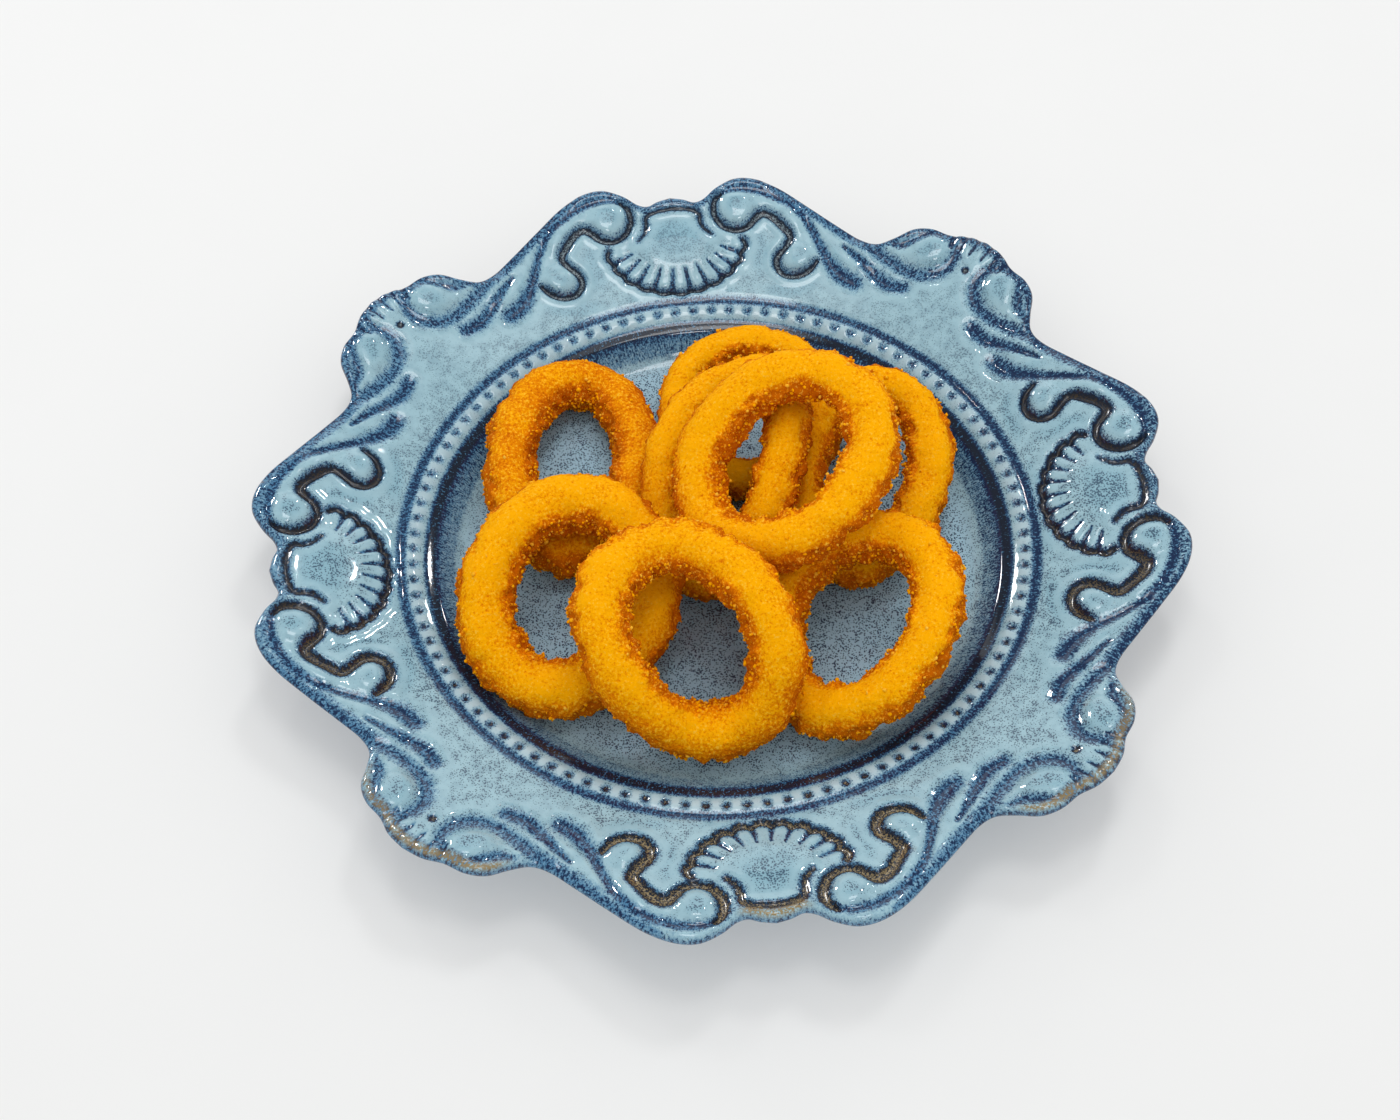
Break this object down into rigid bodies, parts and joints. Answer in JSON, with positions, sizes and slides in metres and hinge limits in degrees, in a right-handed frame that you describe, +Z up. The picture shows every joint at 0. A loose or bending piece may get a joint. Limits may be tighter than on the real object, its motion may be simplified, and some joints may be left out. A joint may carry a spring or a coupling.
{
  "type": "plate of fried calamari",
  "caption": "Battered and fried squid rings heaped loosely in the well of a round stoneware plate whose wide rim has a scalloped outline carved with shells and scrolls.",
  "frame": {"origin": "centre of the plate's foot ring, on the surface that the plate stands on", "axes": "+Z up, square to the plate; a shell of the rim lies on each of +X, +Y, -X and -Y, and the viewer of the picture looks along +Y"},
  "size_m": [0.2596, 0.2596, 0.0597],
  "materials": {
    "glaze": "glossy reactive glaze, slate blue with fine navy speckles, navy and brown where it pools in the carved lines and thins on the edges",
    "crust": "dry golden breadcrumb crust with a fine granular surface, browner and coarser at the inner edges"
  },
  "bodies": {
    "root": {"plate": "glaze", "ring_back_left": "crust", "ring_front_left": "crust", "ring_front": "crust", "ring_front_right": "crust", "ring_right": "crust", "ring_top": "crust", "ring_under": "crust", "ring_back": "crust"}
  },
  "joints": []
}
